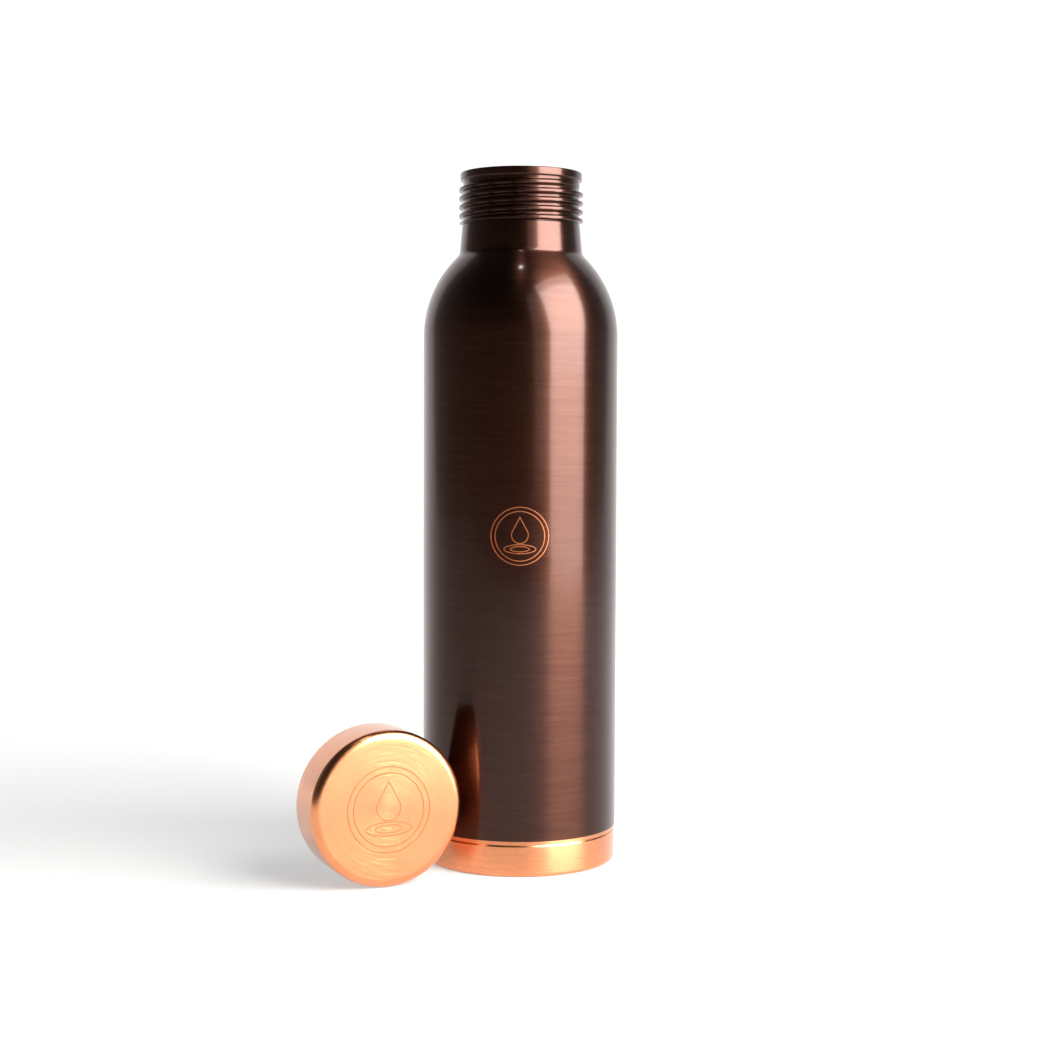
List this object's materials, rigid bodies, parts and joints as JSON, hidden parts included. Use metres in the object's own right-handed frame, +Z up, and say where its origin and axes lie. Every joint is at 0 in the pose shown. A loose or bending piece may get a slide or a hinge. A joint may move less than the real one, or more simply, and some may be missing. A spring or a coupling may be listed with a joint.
{
  "type": "copper water bottle with screw cap",
  "caption": "Tall round copper bottle with a threaded neck, a lapped base cup and a screw cap standing on edge beside it.",
  "frame": {"origin": "centre of the bottle's foot ring, on the surface it stands on", "axes": "+Z up along the bottle's axis; the engraved mark faces -Y; the cap stands at -X, -Y"},
  "size_m": [0.1165, 0.1001, 0.26],
  "materials": {
    "lacquered_copper": "antique brown lacquer over copper brushed around the axis",
    "bare_copper": "bare copper, satin, brushed around the axis",
    "braze_filler": "as-flowed filler metal",
    "silicone": "matt translucent white silicone"
  },
  "bodies": {
    "bottle": {"body_shell": "lacquered_copper", "base_cup": "bare_copper", "base_braze_ring": "braze_filler"},
    "seal": {"cap_seal": "silicone"},
    "cap": {"cap_shell": "bare_copper", "cap_thread_sleeve": "bare_copper", "cap_braze_ring": "braze_filler"}
  },
  "joints": [
    {"name": "cap_travel", "type": "slide", "parent": "bottle", "child": "seal", "axis": [-0.9135, -0.4067, 0], "range_m": [0, 0.13336]},
    {"name": "cap_roll", "type": "hinge", "parent": "seal", "child": "cap", "pos_m": [-0.05403, -0.03549, 0.0283], "axis": [0.4067, -0.9135, 0], "range_deg": [0, 271]}
  ],
  "couplings": [
    {"joint": "cap_roll", "follows": "cap_travel", "rad_per_m": 35.336}
  ]
}
